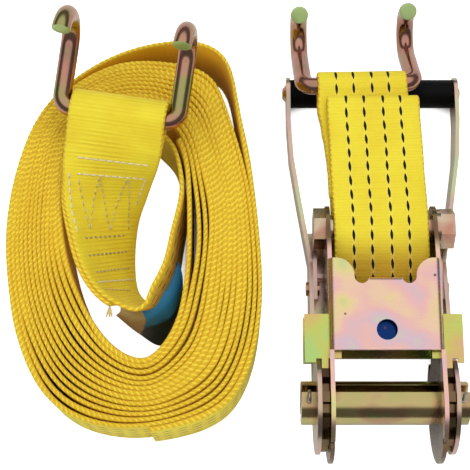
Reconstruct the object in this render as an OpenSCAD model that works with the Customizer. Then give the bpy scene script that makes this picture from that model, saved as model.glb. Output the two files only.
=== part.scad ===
// Ratchet tie down: a wide-handle ratchet with its short hooked strap, and beside it
// the long hooked strap wound into a coil. Millimetres, +Z up, lying on the plane z = 0.
// Ratchet frame: x across the webbing, y from the spindle to the hook, z away from the table.

/* [Webbing] */
// Width of the webbing
webbing_w = 50; // [46:1:52]
// Thickness of one layer of webbing
webbing_t = 2.6; // [2:0.1:3]
// Gap between a layer and what it wraps
webbing_gap = 0.3; // [0.2:0.1:0.5]

/* [Base frame] */
// How much wider than the webbing the frame is inside
base_room = 4; // [3:0.5:8]
// Thickness of the base sheet
base_t = 2.2; // [1.8:0.1:2.6]
// Radius of the round lobe that carries the spindle
base_lobe_r = 28; // [27:0.5:29]
// How far the lobe's centre lies behind the spindle
base_lobe_back = 3; // [1:0.5:4]
// Height of the web's outer face above the spindle axis
web_z = 25; // [24.5:0.1:26]
// Start of the web along y
web_y0 = 23.7; // [22:0.1:25]
// End of the web's two tongues along y
web_y1 = 71.5; // [68:0.5:75]
// Outer radius of the bends
bend_r = 4; // [3:0.5:5]
// Diameter of the hole in the web
web_hole_d = 10.7; // [8:0.1:12]

/* [Strap bolt] */
// Place of the bolt along y
bolt_y = 92.5; // [91:0.5:98]
// Height of the bolt above the spindle axis
bolt_z = 4; // [3:0.5:5]
// Radius of the bolt's shank
bolt_r = 6; // [5:0.5:6.5]
// Width across the flats of head and nut
bolt_flats = 19; // [17:0.5:20]
// Height of the bolt's head
bolt_head_h = 7.5; // [6:0.5:8]
// Height of the nut
bolt_nut_h = 6.2; // [6:0.1:8]
// How far the nut is turned from lying flat, in degrees
bolt_nut_turn = 15; // [0:1:59]
// Outer radius of the spacer sleeve that the strap runs over
sleeve_r = 7.4; // [7.2:0.1:7.8]
// Thickness of the washer under the head
washer_t = 2.4; // [1.5:0.1:2.5]
// Outer radius of the washer
washer_r = 10.5; // [9.5:0.5:11]
// Radius of the ears round the bolt
ear_r = 12; // [11:0.5:12.5]

/* [Spindle] */
// Radius of the two half-round shafts together
spindle_r = 11.25; // [10:0.25:12]
// Length of the half-round shafts
spindle_l = 86; // [84:0.5:92]
// Width of the slot between the halves
slot_w = 4.5; // [4:0.1:6]
// How far the slot leans from upright, in degrees
slot_lean = 34; // [0:1:60]
// Height of the spindle axis above the table
spindle_h = 28; // [28:0.5:29]

/* [Ratchet wheels] */
// Number of teeth
wheel_teeth = 12; // [12]
// Thickness of a wheel
wheel_t = 3.6; // [3:0.1:4]
// Radius at the tips of the teeth
wheel_tip_r = 25; // [24:0.1:25]
// Radius at the roots of the teeth
wheel_root_r = 20.5; // [19:0.1:20.6]
// Angle of a tooth gap at the tips
gap_tip_angle = 18; // [17:0.5:20]
// Angle of a tooth gap at the root
gap_root_angle = 12; // [11.5:0.5:14]

/* [Pawls] */
// Thickness of the pawl sheet
pawl_t = 2.2; // [2:0.1:2.4]
// Height of the pawl's middle plane off the spindle axis
pawl_z = 19; // [18.8:0.1:19.2]
// Half of the width over the wings
pawl_half_w = 40.4; // [38:0.1:44]
// How far the lock pawl's wings reach further to the left than to the right
wing_shift = 1.2; // [0:0.1:2]
// Where the wings start along y when the pawl is seated
pawl_y0 = 20; // [20:0.1:21]
// How much lower the wings' ends reach outside the handle
wing_lip = 2; // [0:0.1:2.5]
// Where the wings end along y
pawl_y1 = 43; // [42:0.5:46]
// Where the finger that drops into a tooth gap starts
finger_y = 15; // [14.9:0.1:15.2]
// Lowest height of the finger
finger_z = 14.8; // [14.8:0.1:15]
// Seated travel of the drive pawl, which is drawn riding on the wheel tips
drive_ride = 5.7; // [5.7:0.1:6]

/* [Handle] */
// Thickness of the two handle plates
handle_t = 2.2; // [2:0.1:2.5]
// Radius of the lobe round the spindle
handle_lobe_r = 26.4; // [26:0.1:26.5]
// Length from the spindle to the grip
handle_l = 178.4; // [165:0.2:190]
// Depth of the handle bars
handle_depth = 17.5; // [14:0.5:18]
// How far the plates stand out beside the pawl
joggle_x = 1.5; // [0:0.1:2]
// How much further they stand out at the grip
flare_x = 11; // [8:0.2:16]
// Radius of the grip
grip_r = 8; // [7:0.25:8]
// Radius of the bar in the grip
grip_bar_r = 4; // [3:0.25:5]
// Where the web between the handle plates starts along y
handle_web_y0 = 41; // [38:1:44]
// Where it ends along y
handle_web_y1 = 97; // [90:1:97]

/* [Hooks] */
// Radius of the hook wire
wire_r = 4.8; // [4:0.1:5]
// How much further apart the arms' middles are than the webbing is wide
hook_room = 11; // [10.5:0.1:16]
// Length of the straight shank
shank_l = 31.7; // [25:0.1:40]
// Radius of the hook's arc
hook_r = 13.4; // [12:0.1:16]
// Angle that the arc turns through
hook_turn = 163; // [120:1:180]
// Radius of the bend between crossbar and shank
corner_r = 6; // [5.5:0.1:6]

/* [Straps] */
// How far the short hook's crossbar lies before the grip's middle
hook_before_grip = 3.9; // [2:0.1:5]
// How far the top fold of the short strap lies before the crossbar
fold_before_hook = 12.7; // [12:0.1:16]
// How far the lower fold lies past the bolt
fold_past_bolt = 18.5; // [16:0.5:22]
// How far the sewn tails reach past the bolt
tail_past_bolt = 33.5; // [28:0.5:38]
// Where the strap turns back under the web, along y
throat_y = 56; // [54:0.5:58]
// Thickness of the doubled, sewn part of the lead
lead_t = 5.4; // [5.2:0.1:5.6]
// Thickness of the folded label
label_t = 1; // [0.8:0.1:1.4]

/* [Hidden] */
$fn = 64;
fit = 0.05;          // radial clearance of a shaft in its hole
side_gap = 0.4;      // gap between plates that turn past each other
joint_gap = 0.3;     // gap between a sliding piece and its slot
lock_travel = 6;     // room for the lock pawl to be drawn back
drive_travel = 4;    // and for the drive pawl
spring_seat_h = 4;   // how far a spring's seat reaches past the spring's axis

ratchet_pos = [73.3, -97.2, spindle_h];
coil_pos = [-56.7, -11, 0];
short_bar = [-8.8, handle_l - hook_before_grip, 4.1];   // the short hook's crossbar in the ratchet frame
short_turn = [-40.6, 0, 2];
long_bar = [-63.45, 45.65, webbing_w + 20.9];           // the long hook's crossbar in the row frame
long_turn = [14.6, -1.5, -9.1];

base_x0 = (webbing_w + base_room) / 2;
base_x1 = base_x0 + base_t;
wheel_x0 = base_x1 + side_gap;
wheel_x1 = wheel_x0 + wheel_t;
handle_x0 = wheel_x1 + joint_gap;

// ---- curves ----

// Points of a closed or open smooth curve through the given points
function curve_point(a, b, c, d, t) =
    0.5 * (2 * b + (c - a) * t + (2 * a - 5 * b + 4 * c - d) * t * t + (3 * b - a - 3 * c + d) * t * t * t);
function closed_curve(p, n) = let (m = len(p))
    [for (i = [0 : m - 1]) for (k = [0 : n - 1])
        curve_point(p[(i + m - 1) % m], p[i], p[(i + 1) % m], p[(i + 2) % m], k / n)];
function open_curve(p, n) = let (m = len(p))
    [for (i = [0 : m - 2]) for (k = [0 : (i == m - 2 ? n : n - 1)])
        curve_point(p[max(i - 1, 0)], p[i], p[i + 1], p[min(i + 2, m - 1)], k / n)];

// Outline of a ribbon of thickness t along a flat path
function side_of(path, i) = let (a = path[max(i - 1, 0)], b = path[min(i + 1, len(path) - 1)], d = b - a)
    [-d[1], d[0]] / norm(d);
function ribbon(path, t) = let (m = len(path))
    concat([for (i = [0 : m - 1]) path[i] + side_of(path, i) * t / 2],
           [for (i = [m - 1 : -1 : 0]) path[i] - side_of(path, i) * t / 2]);

// A band of rectangular section through stations [edge, other edge, thickness]
function normal_at(s, i) = let (a = s[max(i - 1, 0)], b = s[min(i + 1, len(s) - 1)],
    along = (b[0] + b[1] - a[0] - a[1]), n = cross(s[i][1] - s[i][0], along)) n / norm(n);
module band(s) {
    m = len(s);
    points = [for (i = [0 : m - 1]) let (n = normal_at(s, i) * s[i][2] / 2)
        each [s[i][0] + n, s[i][1] + n, s[i][1] - n, s[i][0] - n]];
    faces = concat([[0, 1, 2, 3]], [[4 * m - 1, 4 * m - 2, 4 * m - 3, 4 * m - 4]],
        [for (i = [0 : m - 2]) for (k = [0 : 3]) let (j = (k + 1) % 4)
            each [[4 * i + k, 4 * i + 4 + j, 4 * i + j], [4 * i + k, 4 * i + 4 + k, 4 * i + 4 + j]]]);
    polyhedron(points, faces, convexity = 8);
}

// A helical spring along +y, with its ends flat on their seats
module spring(length, coil_r, wire, turns) {
    steps = 14;
    sides = 6;
    m = turns * steps;
    rise = length - 2 * wire;
    ring = [for (i = [0 : m]) let (a = 360 * i / steps, y = wire + rise * i / m)
        each [for (k = [0 : sides - 1]) let (b = 360 * k / sides, r = coil_r + wire * cos(b))
            [r * cos(a), y + wire * sin(b), r * sin(a)]]];
    faces = concat([[for (k = [0 : sides - 1]) k]], [[for (k = [sides - 1 : -1 : 0]) m * sides + k]],
        [for (i = [0 : m - 1]) for (k = [0 : sides - 1]) let (j = (k + 1) % sides, o = i * sides)
            each [[o + k, o + sides + k, o + sides + j], [o + k, o + sides + j, o + j]]]);
    polyhedron(ring, faces, convexity = 8);
}

// ---- helpers in the ratchet frame ----

module in_ratchet() translate(ratchet_pos) children();
module both_sides() { children(); mirror([1, 0, 0]) children(); }
// A flat outline drawn in (y, z), given a thickness from x0 to x1
module side_plate(x0, x1) translate([x0, 0, 0]) rotate([90, 0, 90]) linear_extrude(x1 - x0) children();
// A rod along x
module rod(r, x0, x1) translate([x0, 0, 0]) rotate([0, 90, 0]) cylinder(r = r, h = x1 - x0);
// A block between two corners
module block(a, b) translate(a) cube(b - a);

// ---- base ----

belly_y0 = 34;         // the side plates' lower edge is straight between these
belly_y1 = 52;
belly_z = -8.2;
nose_y0 = 8;           // nose that holds the closed handle's pawl
nose_l = 20;
drive_sweep_r = norm([pawl_y0 + drive_ride + 0.3, pawl_z - pawl_t / 2]);
module base_outline() {
    translate([-base_lobe_back, 0]) circle(r = base_lobe_r);
    translate([bolt_y, bolt_z]) circle(r = ear_r);
    polygon([[-base_lobe_back, base_lobe_r], [web_y0, web_z - bend_r], [web_y1, web_z - bend_r],
             [bolt_y + ear_r * sin(20), bolt_z + ear_r * cos(20)], [bolt_y, bolt_z - ear_r],
             [belly_y1, belly_z], [belly_y0, belly_z], [15, 2 * belly_z], [0, 2 * belly_z]]);
    // the front edge runs straight from the lobe to the web
    polygon([[-base_lobe_back, base_lobe_r], [web_y0, web_z], [web_y0, 0], [-base_lobe_back, 0]]);
    intersection() {
        circle(r = drive_sweep_r - side_gap);
        translate([nose_y0, -base_lobe_r]) square([nose_l, base_lobe_r - pawl_z - pawl_t / 2 - joint_gap]);
    }
}

tab_half = 8.3;        // half the width of the tab between the web's two notches
notch_r = 3.8;
notch_y = web_y1 - 9.7;
web_hole_y = 34;
module web_outline() {
    round_r = 9.5;
    ear_x = base_x1 - 3.8;
    difference() {
        union() {
            translate([-base_x1, web_y0]) square([2 * base_x1, notch_y - web_y0]);
            for (s = [-1, 1]) {
                translate([s * ear_x, web_y1 - round_r]) circle(r = round_r);
                translate([s > 0 ? ear_x : -base_x1, notch_y - 1]) square([base_x1 - ear_x, web_y1 - notch_y + 1]);
            }
        }
        for (s = [-1, 1]) translate([s * (tab_half + notch_r), notch_y]) circle(r = notch_r);
        translate([0, web_hole_y]) circle(d = web_hole_d);
    }
}
// Section of the web with its two bends, in (x, z)
module web_section() {
    inner_r = bend_r - base_t;
    flat = base_x1 - bend_r;
    difference() {
        union() {
            translate([-flat, web_z - bend_r]) square([2 * flat, bend_r]);
            for (s = [-1, 1]) translate([s * flat, web_z - bend_r]) circle(r = bend_r);
        }
        translate([-flat, web_z - bend_r - 1]) square([2 * flat, inner_r + 1]);
        for (s = [-1, 1]) translate([s * flat, web_z - bend_r]) circle(r = inner_r);
        translate([-base_x1 - 1, web_z - 3 * bend_r]) square([2 * base_x1 + 2, 2 * bend_r]);
    }
}
// What a rounding of radius r takes off an edge along x at (y, z)
module edge_cut(half, y, z, r) difference() {
    block([-half, y - r, z - r], [half, y + 1, z + 1]);
    translate([0, y - r, z - r]) rod(r, -half - 1, half + 1);
}
tab_bend_r = 3.2;
module base_frame() color("DarkKhaki") in_ratchet() difference() {
    union() {
        both_sides() side_plate(base_x0, base_x1) base_outline();
        intersection() {
            translate([0, web_y1 + 1, 0]) rotate([90, 0, 0]) linear_extrude(web_y1) web_section();
            linear_extrude(web_z + 1) web_outline();
        }
        // tab bent down from the web, which the lock spring pushes on
        block([-tab_half, notch_y - base_t, pawl_z - spring_seat_h], [tab_half, notch_y, web_z - base_t]);
    }
    edge_cut(tab_half, notch_y, web_z, tab_bend_r);
    // bores for the spindle and the bolt
    rod(spindle_r + fit, -base_x1 - 1, base_x1 + 1);
    translate([0, bolt_y, bolt_z]) rod(bolt_r + fit, -base_x1 - 1, base_x1 + 1);
    // slots for the lock pawl, and the notches that hold the open handle's pawl
    both_sides() {
        block([base_x0 - 1, pawl_y0 - joint_gap, pawl_z - pawl_t / 2 - joint_gap],
              [base_x1 + 1, pawl_y1 + lock_travel, pawl_z + pawl_t / 2 + joint_gap]);
        block([base_x0 - 1, -base_lobe_r - 10, pawl_z - pawl_t / 2 - joint_gap],
              [base_x1 + 1, -pawl_y0, pawl_z + pawl_t / 2 + joint_gap]);
    }
}

// Hexagon prism along x with a flat on top, turned by an angle, and with its corners at x_end rounded off
module hex_rod(flats, x0, x1, x_end, turn = 0) {
    depth = 22;
    intersection() {
        translate([x0, 0, 0]) rotate([turn + 30, 0, 0]) rotate([0, 90, 0])
            cylinder(d = flats / cos(30), h = x1 - x0, $fn = 6);
        translate([x_end - sign(x_end) * depth, 0, 0]) sphere(r = depth + flats / 7.6, $fn = 96);
    }
}
bolt_head_x = base_x1 + washer_t;
module at_bolt() in_ratchet() translate([0, bolt_y, bolt_z]) children();
module strap_bolt() color("Tan") at_bolt() {
    rod(bolt_r, -base_x1 - bolt_nut_h, bolt_head_x + 1);
    hex_rod(bolt_flats, bolt_head_x, bolt_head_x + bolt_head_h, bolt_head_x + bolt_head_h);
}
module bolt_nut() color("RosyBrown") at_bolt() difference() {
    hex_rod(bolt_flats, -base_x1 - bolt_nut_h, -base_x1, -base_x1 - bolt_nut_h, bolt_nut_turn);
    rod(bolt_r + fit, -base_x1 - bolt_nut_h - 1, -base_x1 + 1);
}
module bolt_washer() color("Khaki") at_bolt() difference() {
    rod(washer_r, base_x1, bolt_head_x);
    rod(bolt_r + fit, base_x1 - 1, bolt_head_x + 1);
}
module bolt_sleeve() color("Silver") at_bolt() difference() {
    rod(sleeve_r, -base_x0, base_x0);
    rod(bolt_r + fit, -base_x0 - 1, base_x0 + 1);
}

// ---- pawls ----

lip_x0 = handle_x0 + handle_t + joint_gap;
// A pawl with its wings, its two fingers and the tongue that guides its spring; the plate is
// centred on z = pawl_z and drawn seated. mid_x and mid_y give the recess between the fingers.
tongue_l = 7;
tongue_half = 2;
module pawl(mid_x, mid_y, shift = 0) {
    z0 = pawl_z - pawl_t / 2;
    z1 = pawl_z + pawl_t / 2;
    difference() {
        block([-pawl_half_w - shift, pawl_y0, z0], [pawl_half_w - shift, pawl_y1, z1]);
        block([-mid_x, pawl_y0 - 1, z0 - 1], [mid_x, mid_y, z1 + 1]);
    }
    block([-tongue_half, pawl_y1, z0], [tongue_half, pawl_y1 + tongue_l, z1]);
    for (end = [-pawl_half_w - shift, pawl_half_w - shift])
        block([min(end, sign(end) * lip_x0), pawl_y0 - wing_lip, z0], [max(end, sign(end) * lip_x0), pawl_y0, z1]);
    both_sides() {
        block([wheel_x0 + 0.1, finger_y, z0], [wheel_x1 - 0.1, pawl_y0, z1]);
        block([wheel_x0 + 0.1, finger_y, finger_z], [wheel_x1 - 0.1, finger_y + pawl_t, z1]);
    }
}
lock_seat_y = notch_y - base_t;
lock_mid = [23, pawl_y0 + 6];          // recess that leaves the spindle free
module lock_pawl() color("YellowGreen") in_ratchet() pawl(lock_mid[0], lock_mid[1], wing_shift);
spring_r = 3;
spring_wire = 0.45;
module lock_spring() color("Gray") in_ratchet() translate([0, pawl_y1, pawl_z])
    spring(lock_seat_y - pawl_y1, spring_r, spring_wire, 6);

// The drive pawl lies in the handle, on the table side, mirrored and drawn out by its ride
module in_drive() in_ratchet() mirror([0, 0, 1]) translate([0, drive_ride, 0]) children();
module drive_pawl() color("DarkOliveGreen") in_drive() pawl(base_x1 + joint_gap, pawl_y0 + 0.6);
drive_tab_y = 70;
module drive_spring() color("Gray") in_drive() translate([0, pawl_y1, pawl_z])
    spring(drive_tab_y - drive_ride - pawl_y1, spring_r, spring_wire, 7);

// ---- spindle ----

module slot_frame() rotate([-slot_lean, 0, 0]) children();
// Half of the round section, in (y, z), on the side sign
module half_round(sign, r, gap) intersection() {
    circle(r = r);
    translate([sign > 0 ? gap / 2 : -r - 1, -r - 1]) square([r + 1 - gap / 2, 2 * r + 2]);
}
cotter_r = 1.3;
cotter_x = (handle_x0 + handle_t + spindle_l / 2) / 2;      // in the middle of the stub past the handle plate
module cotter_holes() both_sides() translate([cotter_x, 0, -spindle_r - 1]) cylinder(r = cotter_r + fit, h = 2 * spindle_r + 2);
module half_shaft(sign) in_ratchet() difference() {
    slot_frame() side_plate(-spindle_l / 2, spindle_l / 2) half_round(sign, spindle_r, slot_w);
    cotter_holes();
}
module half_shaft_front() color("Peru") half_shaft(-1);
module half_shaft_rear() color("Sienna") half_shaft(1);

gap_middle = 45;   // both pawls meet a tooth gap 45 degrees off the y axis
function tooth_points() = [for (k = [0 : wheel_teeth - 1]) let (a = gap_middle + k * 360 / wheel_teeth)
    each [[wheel_root_r, a - gap_root_angle / 2], [wheel_root_r, a + gap_root_angle / 2],
          [wheel_tip_r, a + gap_tip_angle / 2], [wheel_tip_r, a - gap_tip_angle / 2 + 360 / wheel_teeth]]];
module wheel_outline() polygon([for (p = tooth_points()) p[0] * [cos(p[1]), sin(p[1])]]);
module ratchet_wheel() side_plate(wheel_x0, wheel_x1) difference() {
    wheel_outline();
    rotate(-slot_lean) for (s = [-1, 1]) half_round(s, spindle_r + fit, slot_w - 2 * fit);
}
module ratchet_wheel_right() color("BurlyWood") in_ratchet() ratchet_wheel();
module ratchet_wheel_left() color("BurlyWood") in_ratchet() translate([-wheel_x0 - wheel_x1, 0, 0]) ratchet_wheel();

// Split pin along z with an eye at its top and its legs bent over at the foot
module cotter_pin(lean) {
    ring_r = 2 * cotter_r;
    wire = 0.7 * cotter_r;
    leg = 4 * cotter_r;
    top = spindle_r + cotter_r;
    translate([0, 0, -top]) cylinder(r = cotter_r, h = 2 * top, $fn = 24);
    translate([0, 0, top]) rotate([lean, 0, 0]) translate([0, 0, ring_r]) rotate([0, 90, 0])
        rotate_extrude($fn = 32) translate([ring_r, 0]) circle(r = wire, $fn = 16);
    translate([0, 0, -top]) rotate([lean, 0, 0]) translate([0, 0, -leg]) cylinder(r = wire, h = leg, $fn = 24);
}
module cotter_pin_left() color("LightGray") in_ratchet() translate([-cotter_x, 0, 0]) cotter_pin(-30);
module cotter_pin_right() color("LightGray") in_ratchet() translate([cotter_x, 0, 0]) rotate([180, 0, 0]) cotter_pin(-30);

// ---- handle ----

grip_z = grip_r - spindle_h;                 // the grip lies on the table
bar_z0 = -spindle_h + 0.5;
bar_z1 = bar_z0 + handle_depth;
bend_y = [28, 40, 78, 112, 138, 160];        // where the plates bend, from the spindle to the grip
module handle_outline() {
    circle(r = handle_lobe_r);
    polygon([[0, -handle_lobe_r], [handle_l, bar_z0], [handle_l, bar_z1], [bend_y[2], bar_z1], [bend_y[1], -1],
             [handle_lobe_r * sin(32), handle_lobe_r * cos(32)], [0, 0]]);
    translate([handle_l, (bar_z0 + bar_z1) / 2]) circle(r = handle_depth / 2);
}
// How far a plate stands out at each place along y: straight past the wheel, out beside the pawl, then flared
plate_out = [[-30, 0], [bend_y[0], 0], [bend_y[1], joggle_x], [bend_y[2], joggle_x],
             [bend_y[3], joggle_x + flare_x * 0.52], [bend_y[4], joggle_x + flare_x * 0.88],
             [bend_y[5], joggle_x + flare_x], [handle_l + handle_depth, joggle_x + flare_x]];
function handle_path() = [for (p = plate_out) [p[1], p[0]]];
function plate_x(y) = handle_x0 + lookup(y, plate_out);
module handle_plate() difference() {
    intersection() {
        side_plate(handle_x0 - 1, handle_x0 + joggle_x + flare_x + handle_t + 1) handle_outline();
        translate([handle_x0, 0, -handle_lobe_r - 10]) linear_extrude(2 * handle_lobe_r + 20)
            polygon(concat(handle_path(), [for (i = [len(handle_path()) - 1 : -1 : 0]) handle_path()[i] + [handle_t, 0]]));
    }
    rod(spindle_r + fit, handle_x0 - 1, handle_x0 + 10);
    block([handle_x0 - 1, pawl_y0 - joint_gap, -pawl_z - pawl_t / 2 - joint_gap],
          [handle_x0 + 10, pawl_y1 + drive_ride + drive_travel, -pawl_z + pawl_t / 2 + joint_gap]);
    translate([0, handle_l, grip_z]) rod(grip_bar_r + fit, handle_x0, handle_x0 + 30);
    translate([0, rivet_y, rivet_z]) rod(rivet_r + fit, handle_x0 - 1, handle_x0 + 10);
}
module handle_plate_right() color("Wheat") in_ratchet() handle_plate();
module handle_plate_left() color("Wheat") in_ratchet() mirror([1, 0, 0]) handle_plate();

rivet_y = 64;
rivet_z = -16;
rivet_r = 2.5;
rivet_head_r = 3.8;
rivet_head_h = 1.4;
flange_x1 = handle_x0 + joggle_x;
flange_x0 = flange_x1 - base_t;
flange_y = [57, 84];                         // the web's side flanges, which the rivets hold
flange_z1 = -9;
web_floor_z = -web_z;
module handle_web() color("Olive") in_ratchet() {
    difference() {
        union() {
            ends = [handle_web_y0, bend_y[2], handle_web_y1];
            translate([0, 0, web_floor_z]) linear_extrude(base_t)
                polygon([for (y = ends) [-plate_x(y) + plate_gap(y), y], for (k = [2 : -1 : 0])
                    [plate_x(ends[k]) - plate_gap(ends[k]), ends[k]]]);
            both_sides() block([flange_x0, flange_y[0], web_floor_z], [flange_x1, flange_y[1], flange_z1]);
        }
        both_sides() translate([0, rivet_y, rivet_z]) rod(rivet_r + fit, flange_x0 - 1, flange_x1 + 1);
    }
    // wall across the web, which the drive spring pushes on
    block([-flange_x1, drive_tab_y, web_floor_z], [flange_x1, drive_tab_y + base_t, -pawl_z + spring_seat_h]);
}
function plate_gap(y) = y > bend_y[2] ? joint_gap : 0;
module handle_rivets() color("Goldenrod") in_ratchet() both_sides() translate([0, rivet_y, rivet_z]) {
    rod(rivet_r, flange_x0 - 1, flange_x1 + handle_t + 1);
    rod(rivet_head_r, flange_x1 + handle_t, flange_x1 + handle_t + rivet_head_h);
    rod(rivet_head_r, flange_x0 - rivet_head_h, flange_x0);
}
grip_x = handle_x0 + joggle_x + flare_x;
module at_grip() in_ratchet() translate([0, handle_l, grip_z]) children();
module grip_bar() color("Gray") at_grip() {
    rod(grip_bar_r, -grip_x - handle_t, grip_x + handle_t);
    both_sides() translate([grip_x + handle_t, 0, 0]) rotate([0, 90, 0])
        cylinder(r1 = grip_bar_r + 1, r2 = grip_bar_r - 1, h = 2);
}
module grip_sleeve() color([0.06, 0.06, 0.06]) at_grip() difference() {
    rod(grip_r, -grip_x + joint_gap, grip_x - joint_gap);
    rod(grip_bar_r + fit, -grip_x, grip_x);
}

// ---- hooks ----

// Double hook bent from one wire: crossbar along x, shanks along +y, arcs rising to +z
module double_hook() {
    half = (webbing_w + hook_room) / 2;
    rod(wire_r, -half + corner_r, half - corner_r);
    both_sides() {
        translate([half - corner_r, corner_r, 0]) rotate([0, 0, -90])
            rotate_extrude(angle = 90) translate([corner_r, 0]) circle(r = wire_r, $fn = 32);
        translate([half, corner_r, 0]) rotate([-90, 0, 0]) cylinder(r = wire_r, h = shank_l - corner_r, $fn = 32);
        translate([half, shank_l, hook_r]) rotate([0, -90, 0]) rotate([0, 0, -180])
            rotate_extrude(angle = -hook_turn) translate([hook_r, 0]) circle(r = wire_r, $fn = 32);
    }
}
// A turn is [pitch about the crossbar, roll, yaw], so the crossbar's line ignores the pitch
module turned(turn) rotate([0, 0, turn[2]]) rotate([0, turn[1], 0]) rotate([turn[0], 0, 0]) children();
module short_hook() color("RosyBrown") in_ratchet() translate(short_bar) turned(short_turn) double_hook();
module long_hook() color("RosyBrown") translate(long_bar) turned(long_turn) double_hook();

// ---- short strap ----

loop_r = wire_r + webbing_gap + webbing_t / 2;           // middle of the layer round a crossbar
eye_r = sleeve_r + webbing_gap + webbing_t / 2;          // and round the bolt's sleeve
function arc_path(c, r, a0, a1, n) = [for (i = [0 : n]) let (a = a0 + (a1 - a0) * i / n) c + r * [cos(a), sin(a)]];
// Middle of the stacked layers, counted up from the one under the crossbar
function ply_z(k) = 1.8 + k * (webbing_t + 1.1);
tail_y = bolt_y + tail_past_bolt;
low_fold_y = bolt_y + fold_past_bolt;
low_fold_r = 1.7;
top_fold_y = short_bar[1] - fold_before_hook;
top_fold_r = 1.9;
top_fold_z = ply_z(2) + top_fold_r + 1.4;
throat_r = 2.6;
throat_z = 3.6;
// From its sewn tail under the bolt, round the eye, up over the bolt to the top fold and back down
function eye_path() = concat(
    open_curve([[tail_y, ply_z(-1)], [tail_y - 14, ply_z(-1) - 1.3], [bolt_y + sleeve_r, bolt_z - eye_r]], 3),
    open_curve([[bolt_y - 4, bolt_z - eye_r], [throat_y + 10, throat_z - 2 * throat_r], [throat_y + 1, throat_z - throat_r - 0.3]], 3),
    arc_path([throat_y, throat_z], throat_r, 270, 90, 6),
    open_curve([[throat_y + 2, throat_z + throat_r + 0.5], [throat_y + 12, bolt_z + eye_r - 3],
                [bolt_y - 6, bolt_z + eye_r], [bolt_y + 6, bolt_z + eye_r], [low_fold_y + 7, ply_z(3) + 0.3],
                [top_fold_y - 18, ply_z(3)], [top_fold_y - 2.4, top_fold_z + top_fold_r - 0.2]], 3),
    arc_path([top_fold_y, top_fold_z], top_fold_r, 80, -90, 6),
    open_curve([[top_fold_y - 5, ply_z(2) + 0.8], [top_fold_y - 20, ply_z(2)], [low_fold_y + 9.3, ply_z(2) + 0.2]], 3));
// From the lower fold up to the hook, round its crossbar and back to the sewn tail
function hook_path() = concat(
    open_curve([[low_fold_y + 9, ply_z(2) + 0.2], [low_fold_y + 2, ply_z(2) + 0.1]], 2),
    arc_path([low_fold_y, (ply_z(1) + ply_z(2)) / 2 + 0.2], low_fold_r, 90, 270, 6),
    open_curve([[low_fold_y + 2, ply_z(1) + 0.3], [low_fold_y + 27, ply_z(1) - 0.1], [top_fold_y - 6, ply_z(1) + 0.3],
                [short_bar[1] - 5, short_bar[2] + loop_r - 0.8]], 3),
    arc_path([short_bar[1], short_bar[2]], loop_r, 100, -100, 12),
    open_curve([[short_bar[1] - 6, short_bar[2] - loop_r + 0.4], [top_fold_y - 6, ply_z(0) - 0.2], [tail_y, ply_z(0) + 0.4]], 3));
module strap_layer(path, middle_x, lean, about_y) in_ratchet() translate([middle_x, about_y, 0]) rotate([0, 0, lean])
    translate([0, -about_y, 0]) side_plate(-webbing_w / 2, webbing_w / 2) polygon(ribbon(path, webbing_t));
module short_strap() color("Gold") {
    strap_layer(eye_path(), -0.2, 2, bolt_y);
    strap_layer(hook_path(), short_bar[0], short_turn[2], short_bar[1]);
}

// ---- long strap ----

coil_outer = [[67, -36], [58, -76], [38, -96], [-4, -104], [-38, -93], [-58, -60], [-67, -10],
              [-62, 38], [-46, 74], [-14, 99], [18, 104], [44, 97], [55, 70], [64, 20]];
coil_inner = [[27, -4], [23, -44], [8, -65], [-12, -56], [-29, -25], [-36, 8], [-34, 44], [-14, 64], [12, 62], [26, 40]];
module strap_coil() color("Gold") translate(coil_pos) linear_extrude(webbing_w) difference() {
    polygon(closed_curve(coil_outer, 5));
    polygon(closed_curve(coil_inner, 5));
}

// Stations of the lead in the coil's frame: upper edge, lower edge, thickness
lead_stations = let (w = webbing_w) [
    [[-33.4, 48, w + 19.6], [16, 40.1, w + 20.2], lead_t + 1],
    [[-35.5, 36, w + 14.5], [13.3, 32.5, w + 10], lead_t],
    [[-36, 16, w + 8], [5.4, 24.5, 33], lead_t],
    [[-33, 0.6, w + 5.5], [-0.7, 12.4, 19], lead_t],
    [[-26.5, -20, w + 4], [-3, -6, 11], lead_t],
    [[-16, -34.5, w + 3], [-1.6, -22, 5], 4],
    [[-1.3, -42, w + 2.5], [5, -30, 3], webbing_t],
    [[6.6, -39.4, w + 2], [11.5, -30, 2], webbing_t],
    [[10.8, -29.4, w + 1.5], [16, -25, 2], webbing_t],
    [[16.8, -16.4, w + 1], [21, -14, 1.5], webbing_t],
    [[20.6, 0.7, w + 0.5], [23.5, 1, 1], webbing_t],
    [[25, 23.5, w + 0.5], [25.9, 24, 1], webbing_t],
    [[21, 45, w + 0.5], [21.2, 45, 1], webbing_t]];
// The sewn loop round the long hook's crossbar, as two layers that meet where the band starts
function loop_path() = concat(open_curve([[-12, -3.2], [-6, -5.2]], 3), [for (a = [-110 : 22 : 110]) loop_r * [cos(a), sin(a)]],
    open_curve([[-6, 5.2], [-12, 0.8]], 3));
module strap_lead() color("Gold") {
    translate(coil_pos) band(lead_stations);
    translate(long_bar) turned([0, long_turn[1], long_turn[2]])
        side_plate(-webbing_w / 2, webbing_w / 2) polygon(ribbon(loop_path(), webbing_t));
}
// The folded label lies on the outer face of the lead where it turns back, and leans away lower down
label_top = 0.3;       // share of the lead's width above the label
label_foot = 0.92;
label_lean = 3;
label_gap = webbing_gap + 1.2;     // leaves webbing_gap where the lead twists most
module strap_label() color("SteelBlue") translate(coil_pos) band([for (i = [5 : 7])
    let (s = lead_stations[i], n = normal_at(lead_stations, i), off = (s[2] + label_t) / 2 + label_gap)
    [s[0] + (s[1] - s[0]) * label_top + n * off, s[0] + (s[1] - s[0]) * label_foot + n * (off + label_lean), label_t]]);

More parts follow.
